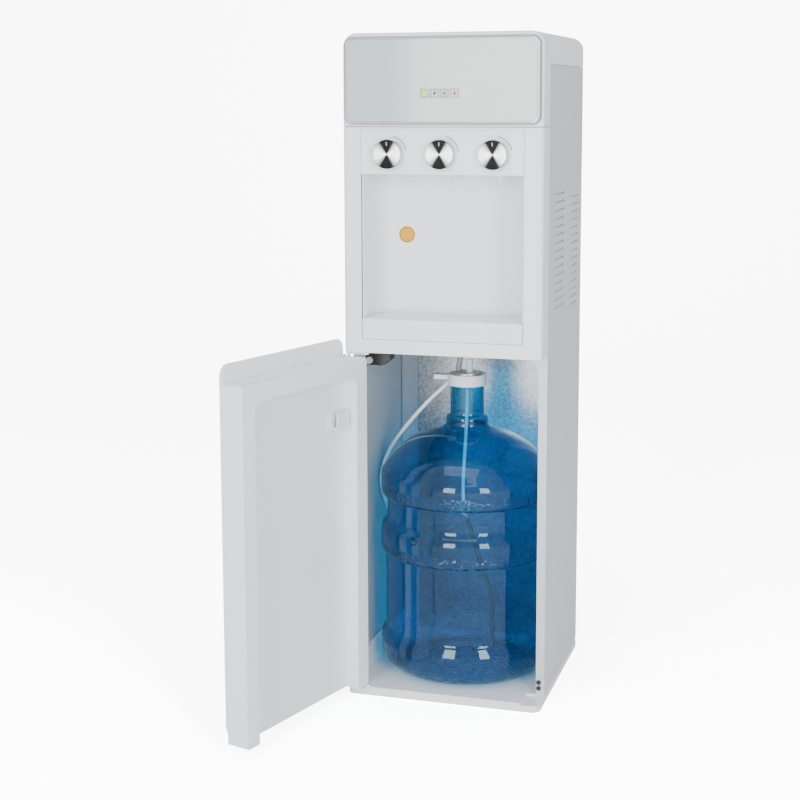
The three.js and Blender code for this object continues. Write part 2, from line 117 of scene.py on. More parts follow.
def newGroup(name, inputs, outputs):
    group = bpy.data.node_groups.new(name, "ShaderNodeTree")
    for label, value in inputs.items():
        socket = group.interface.new_socket(label, in_out="INPUT", socket_type="NodeSocketFloat")
        socket.default_value = value
    for label in outputs:
        group.interface.new_socket(label, in_out="OUTPUT", socket_type="NodeSocketFloat")
    return group, group.nodes.new("NodeGroupInput"), group.nodes.new("NodeGroupOutput")


def grainGroup():  # fine moulded grain over a slow unevenness
    group, given, out = newGroup("mouldGrain", {"Grain": 900.0, "Waves": 6.0}, ["Height", "Tone"])
    place = group.nodes.new("ShaderNodeTexCoord")
    grain = group.nodes.new("ShaderNodeTexNoise")
    grain.inputs["Detail"].default_value = 3
    waves = group.nodes.new("ShaderNodeTexNoise")
    waves.inputs["Detail"].default_value = 2
    group.links.new(place.outputs["Object"], grain.inputs["Vector"])
    group.links.new(place.outputs["Object"], waves.inputs["Vector"])
    group.links.new(given.outputs["Grain"], grain.inputs["Scale"])
    group.links.new(given.outputs["Waves"], waves.inputs["Scale"])
    group.links.new(grain.outputs["Fac"], out.inputs["Height"])
    group.links.new(waves.outputs["Fac"], out.inputs["Tone"])
    return group


def spangleGroup():  # zinc crystals of galvanised sheet
    group, given, out = newGroup("zincSpangle", {"Crystals": 330.0}, ["Tone", "Edge"])
    place = group.nodes.new("ShaderNodeTexCoord")
    crystals = group.nodes.new("ShaderNodeTexVoronoi")
    crystals.inputs["Randomness"].default_value = 1.0
    fine = group.nodes.new("ShaderNodeTexNoise")
    fine.inputs["Scale"].default_value = 420
    split = group.nodes.new("ShaderNodeSeparateColor")
    mixed = group.nodes.new("ShaderNodeMath")
    mixed.operation = "MULTIPLY"
    group.links.new(place.outputs["Object"], crystals.inputs["Vector"])
    group.links.new(place.outputs["Object"], fine.inputs["Vector"])
    group.links.new(given.outputs["Crystals"], crystals.inputs["Scale"])
    group.links.new(crystals.outputs["Color"], split.inputs["Color"])
    group.links.new(split.outputs["Red"], mixed.inputs[0])
    group.links.new(fine.outputs["Fac"], mixed.inputs[1])
    group.links.new(mixed.outputs["Value"], out.inputs["Tone"])
    group.links.new(crystals.outputs["Distance"], out.inputs["Edge"])
    return group


sharedGrain = grainGroup()
sharedSpangle = spangleGroup()


# Finishes

def newMaterial(name, base, roughness, metallic=0.0, coat=0.0):
    look = bpy.data.materials.new(name)
    look.use_nodes = True
    shader = look.node_tree.nodes["Principled BSDF"]
    shader.inputs["Base Color"].default_value = (*base, 1)
    shader.inputs["Roughness"].default_value = roughness
    shader.inputs["Metallic"].default_value = metallic
    shader.inputs["Coat Weight"].default_value = coat
    look.diffuse_color = (*base, 1)
    return look, look.node_tree, shader


def ramp(tree, low, high, start=0.3, end=0.7):
    node = tree.nodes.new("ShaderNodeValToRGB")
    node.color_ramp.elements[0].position = start
    node.color_ramp.elements[1].position = end
    node.color_ramp.elements[0].color = (*low, 1)
    node.color_ramp.elements[1].color = (*high, 1)
    return node


def roughnessRange(tree, source, shader, low, high):
    spread = tree.nodes.new("ShaderNodeMapRange")
    spread.inputs["To Min"].default_value = low
    spread.inputs["To Max"].default_value = high
    tree.links.new(source, spread.inputs["Value"])
    tree.links.new(spread.outputs["Result"], shader.inputs["Roughness"])


def bumpFrom(tree, source, shader, strength, distance):
    bump = tree.nodes.new("ShaderNodeBump")
    bump.inputs["Strength"].default_value = strength
    bump.inputs["Distance"].default_value = distance
    tree.links.new(source, bump.inputs["Height"])
    tree.links.new(bump.outputs["Normal"], shader.inputs["Normal"])


def mouldedPlastic(name, base, roughness, grain=900.0, strength=0.08, coat=0.0):
    look, tree, shader = newMaterial(name, base, roughness, 0.0, coat)
    surface = tree.nodes.new("ShaderNodeGroup")
    surface.node_tree = sharedGrain
    surface.inputs["Grain"].default_value = grain
    darker = tuple(channel * 0.975 for channel in base)
    colour = ramp(tree, darker, base)
    tree.links.new(surface.outputs["Tone"], colour.inputs["Fac"])
    tree.links.new(colour.outputs["Color"], shader.inputs["Base Color"])
    roughnessRange(tree, surface.outputs["Tone"], shader, roughness - 0.04, roughness + 0.05)
    bumpFrom(tree, surface.outputs["Height"], shader, strength, 0.0002)
    return look


def paintedSteel(name, base, roughness, metallic):  # fine orange peel of powder paint
    look, tree, shader = newMaterial(name, base, roughness, metallic, 0.15)
    surface = tree.nodes.new("ShaderNodeGroup")
    surface.node_tree = sharedGrain
    surface.inputs["Grain"].default_value = 480
    surface.inputs["Waves"].default_value = 3
    colour = ramp(tree, tuple(channel * 0.96 for channel in base), base)
    tree.links.new(surface.outputs["Tone"], colour.inputs["Fac"])
    tree.links.new(colour.outputs["Color"], shader.inputs["Base Color"])
    roughnessRange(tree, surface.outputs["Tone"], shader, roughness - 0.03, roughness + 0.05)
    bumpFrom(tree, surface.outputs["Height"], shader, 0.12, 0.0003)
    return look


def galvanisedSheet(name):
    look, tree, shader = newMaterial(name, (0.6, 0.63, 0.66), 0.38, 0.85)
    crystals = tree.nodes.new("ShaderNodeGroup")
    crystals.node_tree = sharedSpangle
    colour = ramp(tree, (0.3, 0.325, 0.34), (0.5, 0.53, 0.55), 0.02, 0.5)
    tree.links.new(crystals.outputs["Tone"], colour.inputs["Fac"])
    tree.links.new(colour.outputs["Color"], shader.inputs["Base Color"])
    roughnessRange(tree, crystals.outputs["Tone"], shader, 0.3, 0.44)
    bumpFrom(tree, crystals.outputs["Edge"], shader, 0.1, 0.0003)
    return look


def turnedMetal(name, base, roughness, rings, centre):  # tool marks round a Y axis, with a painted reflection: base colour dark in wedges at top and bottom, bright at the sides
    look, tree, shader = newMaterial(name, base, roughness, 1.0)
    place = tree.nodes.new("ShaderNodeTexCoord")
    centred = tree.nodes.new("ShaderNodeMapping")
    centred.inputs["Location"].default_value = (-centre[0], 0, -centre[2])
    centred.inputs["Scale"].default_value = (1, 0, 1)
    marks = tree.nodes.new("ShaderNodeTexWave")
    marks.wave_type = "RINGS"
    marks.rings_direction = "Y"
    marks.inputs["Scale"].default_value = rings
    marks.inputs["Distortion"].default_value = 0.4
    tree.links.new(place.outputs["Object"], centred.inputs["Vector"])
    tree.links.new(centred.outputs["Vector"], marks.inputs["Vector"])
    roughnessRange(tree, marks.outputs["Fac"], shader, roughness - 0.05, roughness + 0.08)
    bumpFrom(tree, marks.outputs["Fac"], shader, 0.15, 0.00015)
    split = tree.nodes.new("ShaderNodeSeparateXYZ")
    angle = tree.nodes.new("ShaderNodeMath")
    angle.operation = "ARCTAN2"
    double = tree.nodes.new("ShaderNodeMath")
    double.operation = "MULTIPLY"
    double.inputs[1].default_value = 2
    wave = tree.nodes.new("ShaderNodeMath")
    wave.operation = "COSINE"
    spread = tree.nodes.new("ShaderNodeMapRange")
    spread.inputs["From Min"].default_value = -1
    # painted reflection: base colour darkened in wedges at the top and bottom of the knob, standing in for
    # the dark surroundings it would reflect
    paintedReflectionWedges = ramp(tree, tuple(channel * 0.012 for channel in base), base, 0.22, 1.0)
    tree.links.new(centred.outputs["Vector"], split.inputs["Vector"])
    tree.links.new(split.outputs["Z"], angle.inputs[0])
    tree.links.new(split.outputs["X"], angle.inputs[1])
    tree.links.new(angle.outputs["Value"], double.inputs[0])
    tree.links.new(double.outputs["Value"], wave.inputs[0])
    tree.links.new(wave.outputs["Value"], spread.inputs["Value"])
    tree.links.new(spread.outputs["Result"], paintedReflectionWedges.inputs["Fac"])
    tree.links.new(paintedReflectionWedges.outputs["Color"], shader.inputs["Base Color"])
    return look


def plainMetal(name, base, roughness):
    look, tree, shader = newMaterial(name, base, roughness, 1.0)
    surface = tree.nodes.new("ShaderNodeGroup")
    surface.node_tree = sharedGrain
    surface.inputs["Grain"].default_value = 300
    roughnessRange(tree, surface.outputs["Height"], shader, roughness - 0.08, roughness + 0.12)
    return look


bottleSkin = {
    "zones": ((0.014, 0.046), (0.2, 0.217), (0.289, 0.309)),
    "pebbles": 250.0, "strength": 0.8, "depth": 0.002,
    "tint": (0.12, 0.5, 0.68), "shade": (0.45, 0.76, 0.9, 1),
}


def bluePlastic(name):  # thin clear wall, pebbled on three zones, that lets light through to its inside
    look, tree, shader = newMaterial(name, bottleSkin["tint"], 0.02)
    shader.inputs["IOR"].default_value = 1.42
    shader.inputs["Transmission Weight"].default_value = 1.0
    place = tree.nodes.new("ShaderNodeTexCoord")
    split = tree.nodes.new("ShaderNodeSeparateXYZ")
    pebbles = tree.nodes.new("ShaderNodeTexVoronoi")
    pebbles.feature = "SMOOTH_F1"
    pebbles.inputs["Scale"].default_value = bottleSkin["pebbles"]
    tree.links.new(place.outputs["Object"], split.inputs["Vector"])
    tree.links.new(place.outputs["Object"], pebbles.inputs["Vector"])
    total = None
    for low, high in bottleSkin["zones"]:
        zone = tree.nodes.new("ShaderNodeMath")
        zone.operation = "COMPARE"
        zone.inputs[1].default_value = (low + high) / 2
        zone.inputs[2].default_value = (high - low) / 2
        tree.links.new(split.outputs["Z"], zone.inputs[0])
        masked = tree.nodes.new("ShaderNodeMath")
        masked.operation = "MULTIPLY_ADD"
        tree.links.new(zone.outputs["Value"], masked.inputs[0])
        tree.links.new(pebbles.outputs["Distance"], masked.inputs[1])
        masked.inputs[2].default_value = 0.0
        if total:
            tree.links.new(total.outputs["Value"], masked.inputs[2])
        total = masked
    bumpFrom(tree, total.outputs["Value"], shader, bottleSkin["strength"], bottleSkin["depth"])
    passing = tree.nodes.new("ShaderNodeBsdfTransparent")
    passing.inputs["Color"].default_value = bottleSkin["shade"]
    path = tree.nodes.new("ShaderNodeLightPath")
    either = tree.nodes.new("ShaderNodeMixShader")
    tree.links.new(path.outputs["Is Shadow Ray"], either.inputs["Fac"])
    tree.links.new(shader.outputs["BSDF"], either.inputs[1])
    tree.links.new(passing.outputs["BSDF"], either.inputs[2])
    tree.links.new(either.outputs["Shader"], tree.nodes["Material Output"].inputs["Surface"])
    return look


def clearPlastic(name, base, cover, roughness):
    look, tree, shader = newMaterial(name, base, roughness)
    edge = tree.nodes.new("ShaderNodeLayerWeight")
    edge.inputs["Blend"].default_value = 0.4
    density = ramp(tree, (cover,) * 3, (0.95, 0.95, 0.95), 0.1, 1.0)
    tree.links.new(edge.outputs["Facing"], density.inputs["Fac"])
    tree.links.new(density.outputs["Color"], shader.inputs["Alpha"])
    return look


def dipTubePlastic(name, change):  # pale above, darker where it slants down to the bottom
    look, tree, shader = newMaterial(name, (0.5, 0.6, 0.68), 0.25)
    place = tree.nodes.new("ShaderNodeTexCoord")
    split = tree.nodes.new("ShaderNodeSeparateXYZ")
    height = tree.nodes.new("ShaderNodeMapRange")
    height.inputs["From Min"].default_value = change - 0.01
    height.inputs["From Max"].default_value = change + 0.01
    colour = ramp(tree, (0.05, 0.06, 0.08), (0.7, 0.76, 0.82), 0.0, 1.0)
    tree.links.new(place.outputs["Object"], split.inputs["Vector"])
    tree.links.new(split.outputs["Z"], height.inputs["Value"])
    tree.links.new(height.outputs["Result"], colour.inputs["Fac"])
    tree.links.new(colour.outputs["Color"], shader.inputs["Base Color"])
    return look


def litLens(name, base, strength):
    look, tree, shader = newMaterial(name, base, 0.2)
    shader.inputs["Emission Color"].default_value = (*base, 1)
    shader.inputs["Emission Strength"].default_value = strength
    return look


casingWhite = mouldedPlastic("casingWhite", (0.8, 0.83, 0.87), 0.32, 900, 0.05, 0.1)
linerWhite = mouldedPlastic("linerWhite", (0.81, 0.84, 0.885), 0.46, 1100, 0.1)
sideSteel = paintedSteel("sideSteel", (0.56, 0.6, 0.64), 0.42, 0.25)
zincSheet = galvanisedSheet("zincSheet")
displayTint = mouldedPlastic("displayTint", (0.46, 0.53, 0.52), 0.1, 60, 0.0, 0.25)
frameSilver = paintedSteel("frameSilver", (0.52, 0.54, 0.56), 0.26, 0.7)
zincPlate = plainMetal("zincPlate", (0.55, 0.57, 0.58), 0.35)
finAluminium = plainMetal("finAluminium", (0.7, 0.71, 0.72), 0.4)
mouldedBlack = mouldedPlastic("mouldedBlack", (0.018, 0.019, 0.021), 0.42, 900, 0.1)
softRubber = mouldedPlastic("softRubber", (0.05, 0.05, 0.052), 0.75, 500, 0.2)
foamWhite = mouldedPlastic("foamWhite", (0.72, 0.74, 0.75), 0.85, 260, 0.5)
boardGreen = mouldedPlastic("boardGreen", (0.03, 0.2, 0.1), 0.5, 400, 0.1)
markGrey = mouldedPlastic("markGrey", (0.025, 0.028, 0.032), 0.5, 900, 0.0)
hoseWhite = mouldedPlastic("hoseWhite", (0.82, 0.84, 0.85), 0.4, 700, 0.05)
bottleBlue = bluePlastic("bottleBlue")
tubeClear = dipTubePlastic("tubeClear", 0.255)
hoseGrey = clearPlastic("hoseGrey", (0.3, 0.33, 0.35), 0.7, 0.2)
stickerYellow = mouldedPlastic("stickerYellow", (0.66, 0.33, 0.0), 0.7, 900, 0.0)
lensTint = mouldedPlastic("lensTint", (0.43, 0.5, 0.49), 0.1, 60, 0.0, 0.25)
glyphGreen = litLens("glyphGreen", (0.5, 0.6, 0.01), 0.3)
glyphBlue = litLens("glyphBlue", (0.015, 0.03, 0.22), 0.0)
glyphRed = litLens("glyphRed", (0.3, 0.015, 0.015), 0.0)
print("finishes made")


# Finishing a piece

def settle(piece, name, body, look, smoothAngle=35):
    pick(piece)
    piece.name = name
    piece.data.name = name
    bpy.ops.object.transform_apply(location=True, rotation=True, scale=True)
    piece.data.materials.clear()
    piece.data.materials.append(look)
    if smoothAngle:
        bpy.ops.object.shade_smooth_by_angle(angle=math.radians(smoothAngle))
    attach(piece, body)
    return piece


def applyModifier(piece, kind, **settings):
    pick(piece)
    modifier = piece.modifiers.new(kind.lower(), kind)
    for label, value in settings.items():
        setattr(modifier, label, value)
    bpy.ops.object.modifier_apply(modifier=modifier.name)


def softenEdges(piece, width, segments=2, angle=30):
    applyModifier(piece, "BEVEL", width=width, segments=segments, limit_method="ANGLE",
                  angle_limit=math.radians(angle), harden_normals=False)


def finishedCopy(node, body, look, bevel, segments=2):  # CAD copy, merged and softened
    source = nodes[node]
    piece = bpy.data.objects.new(node + "_finished", source.data.copy())
    bpy.context.collection.objects.link(piece)
    pick(piece)
    editMode()
    bpy.ops.mesh.select_all(action="SELECT")
    bpy.ops.mesh.remove_doubles(threshold=mergeGap)
    bpy.ops.mesh.dissolve_limited(angle_limit=math.radians(0.5))
    objectMode()
    if bevel:
        softenEdges(piece, bevel, segments)
    settle(piece, node + "_finished", body, look)
    applyModifier(piece, "WEIGHTED_NORMAL", keep_sharp=True, weight=50)
    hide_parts(node)
    return piece


def block(low, high, bevel=0.0):
    deselectAll()
    middle = [(a + b) / 2 for a, b in zip(low, high)]
    size = [b - a for a, b in zip(low, high)]
    bpy.ops.mesh.primitive_cube_add(size=1, location=middle)
    piece = bpy.context.object
    piece.scale = size
    bpy.ops.object.transform_apply(location=True, rotation=True, scale=True)
    if bevel:
        softenEdges(piece, bevel)
    return piece


def chainOf(points):  # one vertex drawn out along a line of points
    deselectAll()
    bpy.ops.mesh.primitive_plane_add(size=0.001, location=(0, 0, 0))
    piece = bpy.context.object
    editMode()
    bpy.ops.mesh.select_mode(type="VERT")
    bpy.ops.mesh.select_all(action="SELECT")
    bpy.ops.mesh.merge(type="CENTER")
    bpy.ops.transform.translate(value=points[0])
    for before, after in zip(points, points[1:]):
        step = Vector(after) - Vector(before)
        bpy.ops.mesh.extrude_region_move(TRANSFORM_OT_translate={"value": step})
    return piece


def turned(profile, centre, axis, steps=64, sweep=360):  # profile points are (radius, height along axis)
    along = {"Z": (0, 0, 1), "Y": (0, 1, 0)}[axis]
    points = [Vector(centre) + Vector((radius, 0, 0)) + Vector(along) * height for radius, height in profile]
    piece = chainOf(points)
    bpy.ops.mesh.select_all(action="SELECT")
    bpy.ops.mesh.spin(steps=steps, angle=math.radians(sweep), center=centre, axis=along)
    bpy.ops.mesh.select_all(action="SELECT")
    bpy.ops.mesh.remove_doubles(threshold=mergeGap)
    bpy.ops.mesh.normals_make_consistent(inside=False)
    objectMode()
    return piece


def copyOf(piece, shift, name, body, look=None):  # own mesh, same look unless given
    twin = piece.copy()
    twin.data = piece.data.copy()
    bpy.context.collection.objects.link(twin)
    twin.parent = None
    twin.matrix_world = Matrix.Translation(shift)
    return settle(twin, name, body, look or piece.data.materials[0])


# Free hose from the probe to the post

hoseLine = {
    "radius": 0.003,
    "route": [
        (-0.0347, 0.005, 0.458), (-0.047, 0.005, 0.4465), (-0.063, 0.005, 0.431), (-0.101, 0.010, 0.388),
        (-0.126, 0.012, 0.353), (-0.139, 0.008, 0.321), (-0.141, 0.004, 0.294), (-0.141, 0.030, 0.255),
        (-0.139, 0.070, 0.215), (-0.133, 0.100, 0.182), (-0.129, 0.122, 0.164), (-0.128, 0.134, 0.160),
        (-0.128, 0.146, 0.160),
    ],
}


def smoothLine(points, perSpan=6):  # centripetal curve through the points
    stops = [Vector(point) for point in points]
    ends = [stops[0] * 2 - stops[1]] + stops + [stops[-1] * 2 - stops[-2]]
    line = []
    for a, b, c, d in zip(ends, ends[1:], ends[2:], ends[3:]):
        t = [0.0]
        for before, after in ((a, b), (b, c), (c, d)):
            t.append(t[-1] + max((after - before).length, 1e-6) ** 0.5)
        for i in range(perSpan):
            u = t[1] + (t[2] - t[1]) * i / perSpan
            ab = a.lerp(b, (u - t[0]) / (t[1] - t[0]))
            bc = b.lerp(c, (u - t[1]) / (t[2] - t[1]))
            cd = c.lerp(d, (u - t[2]) / (t[3] - t[2]))
            abc = ab.lerp(bc, (u - t[0]) / (t[2] - t[0]))
            bcd = bc.lerp(cd, (u - t[1]) / (t[3] - t[1]))
            line.append(abc.lerp(bcd, (u - t[1]) / (t[2] - t[1])))
    return line + [stops[-1]]


def roundTube(name, line, radius, sides=4):
    curve = bpy.data.curves.new(name, "CURVE")
    curve.dimensions = "3D"
    curve.bevel_depth = radius
    curve.bevel_resolution = sides
    curve.use_fill_caps = True
    spline = curve.splines.new("POLY")
    spline.points.add(len(line) - 1)
    for point, place in zip(spline.points, line):
        point.co = (*place, 1)
    piece = bpy.data.objects.new(name, curve)
    bpy.context.collection.objects.link(piece)
    return piece


def makeReturnHose():
    line = smoothLine(hoseLine["route"])
    hose = roundTube("return_hose_tube", line, hoseLine["radius"])
    for span in hose.data.splines:
        span.use_smooth = True
    hose.data.materials.append(hoseWhite)
    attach(hose, "cabinet")
    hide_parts("return_hose")


makeReturnHose()
print("hose laid")


# Casing

casingParts = {
    "hood": ("casing", casingWhite, 0.0006),
    "front_bezel": ("casing", casingWhite, 0.0004),
    "tap_panel": ("casing", casingWhite, 0.0004),
    "niche_liner": ("liner", linerWhite, 0.0004),
    "base_tray": ("casing", casingWhite, 0.001),
    "display_frame": ("chrome", frameSilver, 0.0006),
    "display_glass": ("glass", displayTint, 0.0003),
    "corner_post_left": ("steel", sideSteel, 0.0002),
    "corner_post_right": ("steel", sideSteel, 0.0002),
    "top_hinge_plate": ("zinc", zincPlate, 0.0003),
    "bottom_hinge_plate": ("zinc", casingWhite, 0.0003),
    "door_switch": ("black", mouldedBlack, 0.0006),
    "side_panel_left": ("steel", sideSteel, 0.0002),
    "side_panel_right": ("steel", sideSteel, 0.0002),
    "cold_tank": ("foam", foamWhite, 0.004),
    "water_pump": ("black", mouldedBlack, 0.0008),
    "rocker_frame": ("black", mouldedBlack, 0.0004),
    "cord_gland": ("black", mouldedBlack, 0.0005),
    "drain_plug": ("casing", casingWhite, 0.0005),
    "nozzle_hot": ("casing", casingWhite, 0.0004),
    "nozzle_warm": ("casing", casingWhite, 0.0004),
    "nozzle_cold": ("casing", casingWhite, 0.0004),
}
for node, (slotName, look, bevel) in casingParts.items():
    finishedCopy(node, "cabinet", look, bevel)
finishedCopy("door_outer_panel", "door", casingWhite, 0.0005)
finishedCopy("door_liner", "door", linerWhite, 0.002, 3)
finishedCopy("probe_hanger", "door", casingWhite, 0.0008)
finishedCopy("drip_tray", "tray", linerWhite, 0.0004)
finishedCopy("drip_grille", "grille", linerWhite, 0.0004)
finishedCopy("rocker_hot", "hot_rocker", mouldedBlack, 0.0005)
finishedCopy("rocker_cold", "cold_rocker", mouldedBlack, 0.0005)
print("casing finished")

keptNodes = {
    "rear_panel": zincSheet, "compartment_back": zincSheet, "compartment_ceiling": zincSheet,
    "flange_screw_upper": mouldedBlack, "flange_screw_lower": mouldedBlack, "hose_grommet": softRubber,
    "hot_tank": plainMetal("tankSteel", (0.6, 0.61, 0.62), 0.3), "peltier_module": foamWhite,
    "heat_sink": finAluminium, "fan_frame": mouldedBlack, "fan_rotor": mouldedBlack,
    "control_board": boardGreen, "tap_valve_hot": linerWhite, "tap_valve_warm": linerWhite,
    "tap_valve_cold": linerWhite, "switch_plunger": sideSteel,
    "probe_connector": casingWhite, "probe_disc": zincPlate,
}
for node, look in keptNodes.items():
    nodes[node].data.materials.clear()
    nodes[node].data.materials.append(look)


# Display icons

iconShape = {
    "side": 0.0106, "line": 0.0007, "rise": 0.00006,
    "glyph": 0.0024, "pull": 1.1, "flake": 1.5, "tile": 0.36, "tileEdge": 0.00002,
}


def middleOf(node):  # middle of a node's front face
    corners = [nodes[node].matrix_world @ Vector(corner) for corner in nodes[node].bound_box]
    xs, ys, zs = zip(*corners)
    return Vector(((min(xs) + max(xs)) / 2, min(ys), (min(zs) + max(zs)) / 2))


def thinPiece(piece, name, look):
    applyModifier(piece, "SOLIDIFY", thickness=iconShape["rise"], offset=0)
    return settle(piece, name, "cabinet", look, 0)


def outlineSquare(name, centre, look):
    deselectAll()
    bpy.ops.mesh.primitive_plane_add(size=iconShape["side"], location=centre,
                                     rotation=(math.radians(90), 0, 0))
    piece = bpy.context.object
    editMode()
    bpy.ops.mesh.select_all(action="SELECT")
    bpy.ops.mesh.inset(thickness=iconShape["line"], depth=0)
    bpy.ops.mesh.delete(type="FACE")
    objectMode()
    return thinPiece(piece, name, look)


def dropGlyph(name, centre, slotName, look):  # disc with its top drawn up to a point
    deselectAll()
    radius = iconShape["glyph"]
    bpy.ops.mesh.primitive_circle_add(vertices=24, radius=radius, fill_type="NGON", location=centre,
                                      rotation=(math.radians(90), 0, 0))
    piece = bpy.context.object
    bpy.ops.object.transform_apply(location=True, rotation=True, scale=True)
    clearMarks(piece)
    for vertex in piece.data.vertices:
        vertex.select = vertex.co.z - centre.z > 0.99 * radius
    editMode()
    bpy.ops.mesh.select_mode(type="VERT")
    bpy.ops.transform.translate(value=(0, 0, iconShape["pull"] * radius))
    objectMode()
    return thinPiece(piece, name, look)


def flakeGlyph(name, centre, slotName, look):  # three crossed bars
    reach = iconShape["glyph"] * iconShape["flake"]
    half = iconShape["line"] * 0.7
    bars = []
    for turn in (0, 60, 120):
        bar = block((centre.x - half, centre.y, centre.z - reach),
                    (centre.x + half, centre.y + iconShape["rise"], centre.z + reach))
        turnAround(bar, turn, centre)
        bars.append(bar)
    return settle(joined(bars), name, "cabinet", look, 0)


def filledTile(name, centre, slotName, look):  # lit square with softened corners
    reach = iconShape["side"] * iconShape["tile"]
    half = Vector((reach, 0, reach))
    rise = Vector((0, iconShape["rise"], 0))
    tile = block(centre - half, centre + half + rise)
    softenEdges(tile, iconShape["tileEdge"], 1)
    return settle(tile, name, "cabinet", look, 0)


def makeIcons():
    glyphs = {
        "indicator_power": (filledTile, "green", glyphGreen),
        "indicator_fill": (dropGlyph, "blue", glyphBlue),
        "indicator_cold": (flakeGlyph, "blue", glyphBlue),
        "indicator_hot": (dropGlyph, "red", glyphRed),
    }
    for node, (draw, slotName, look) in glyphs.items():
        finishedCopy(node, "cabinet", lensTint, 0.0002)
        front = middleOf(node) - Vector((0, iconShape["rise"], 0))
        outlineSquare(node + "_outline", front, glyphRed if slotName == "red" else markGrey)
        draw(node + "_glyph", front, slotName, look)


makeIcons()
print("icons drawn")


# Side vents

ventShape = {
    "columns": ((-0.062, 0.0055, 0.593), (0.062, 0.118, 0.583)), "rows": 15, "pitch": 0.012,
    "x": 0.1467, "thick": 0.0005, "high": 0.0042, "lean": 30, "overlap": 0.001, "edge": 0.0001,
}


def makeVentBlades():  # leaning blades behind the slots of both sides
    s = ventShape
    for side, label in ((1, "right"), (-1, "left")):
        for number, (y0, y1, z) in enumerate(s["columns"]):
            middle = Vector((side * s["x"], (y0 + y1) / 2, z))
            half = Vector((s["thick"] / 2, (y1 - y0) / 2 + s["overlap"], s["high"] / 2))
            column = block(middle - half, middle + half)
            turnAround(column, side * s["lean"], middle)
            softenEdges(column, s["edge"], 1)
            applyModifier(column, "ARRAY", count=s["rows"], use_relative_offset=False,
                          use_constant_offset=True, constant_offset_displace=(0, 0, s["pitch"]))
            settle(column, f"vent_blades_{label}_{number + 1}", "cabinet", sideSteel)


makeVentBlades()
print("vents filled")


# Rear screws

screwShape = {
    "sites": ((-0.138, 0.03), (0.138, 0.03), (-0.138, 0.33), (0.138, 0.33), (-0.138, 0.63), (0.138, 0.63),
              (-0.138, 0.93), (0.138, 0.93), (0.0, 0.93), (0.0, 0.03)),
    "y": 0.1505,
    "profile": ((0.0, 0.0006), (0.0008, 0.0009), (0.0018, 0.0017), (0.003, 0.0014), (0.0038, 0.0006),
                (0.004, -0.0003), (0.0, -0.0003)),
}


def makeRearScrews():  # domed heads with a round drive recess
    s = screwShape
    (x0, z0), *others = s["sites"]
    first = turned(s["profile"], (x0, s["y"], z0), "Y", 32)
    settle(first, "rear_screw_1", "cabinet", zincPlate, 40)
    for number, (x, z) in enumerate(others, 2):
        copyOf(first, (x - x0, 0, z - z0), f"rear_screw_{number}", "cabinet")


makeRearScrews()
print("screws set")


# Dark strip in the seam under the hood, painted shade in the gap

seamShadeStripShape = {
    "low": (-0.1468, -0.1496, 0.8602), "high": (0.1468, -0.1098, 0.8618), "inner": 0.006, "edge": 0.0002,
}


def makeSeamShadeStrip():  # three dark strips along the front and the sides, painted shade in the seam
    s = seamShadeStripShape
    (x0, y0, z0), (x1, y1, z1) = s["low"], s["high"]
    back = y0 + s["inner"]
    sides = (((x0, y0, z0), (x1, back, z1)), ((x0, back, z0), (x0 + s["inner"], y1, z1)),
             ((x1 - s["inner"], back, z0), (x1, y1, z1)))
    strips = [block(low, high, s["edge"]) for low, high in sides]
    # painted shade: dark rubber finish on strips that stand for the shadow inside the seam
    settle(joined(strips), "hood_seam_painted_shade", "cabinet", softRubber)


makeSeamShadeStrip()
print("gasket laid")


# Knobs

knobShape = {
    "faceY": -0.1515, "z": 0.822, "centres": {"hot": -0.078, "warm": 0.0, "cold": 0.078},
    "radius": 0.021, "back": 0.0192, "length": 0.0145, "dish": 0.0014, "tick": (0.0009, 0.0052),
    "metal": (0.8, 0.81, 0.82), "roughness": 0.22, "rings": 900, "stub": 0.0105,
    "arcGap": 0.0045, "arcWidth": 0.0011, "arcSweep": 66, "arcTurn": -12,
}
printRise = 0.00008  # thickness of what is printed on a face


def makeKnobs():
    s = knobShape
    centre = (s["centres"]["hot"], s["faceY"], s["z"])
    radius = s["radius"]
    front = -s["length"]
    profile = [
        (0.0, s["stub"]), (0.004, s["stub"]), (0.004, -0.0009), (s["back"] - 0.0004, -0.0009),
        (s["back"], -0.0013),
        (radius - 0.0004, -0.0095), (radius, -0.0105), (radius, front + 0.0013),
        (radius - 0.0003, front + 0.0006), (radius - 0.0009, front + 0.0001), (radius - 0.0016, front),
        (0.0, front + s["dish"]),
    ]
    chrome = turnedMetal("knobChromeHot", s["metal"], s["roughness"], s["rings"], centre)
    first = turned(profile, centre, "Y", 96)
    settle(first, "knob_hot_chrome", "hot_knob", chrome, 25)
    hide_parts("knob_hot")
    width, length = s["tick"]
    top = s["z"] + radius - 0.0035
    face = s["faceY"] + front
    tick = block((centre[0] - width / 2, face + 0.00004, top - length),
                 (centre[0] + width / 2, face + 0.0012, top), 0.0002)
    settle(tick, "knob_hot_tick", "hot_knob", casingWhite)
    for name in ("warm", "cold"):
        shift = (s["centres"][name] - centre[0], 0, 0)
        place = (s["centres"][name], s["faceY"], s["z"])
        look = turnedMetal("knobChrome" + name.title(), s["metal"], s["roughness"], s["rings"], place)
        twin = copyOf(first, shift, f"knob_{name}_chrome", f"{name}_knob", look)
        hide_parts(f"knob_{name}")
        copyOf(tick, shift, f"knob_{name}_tick", f"{name}_knob")


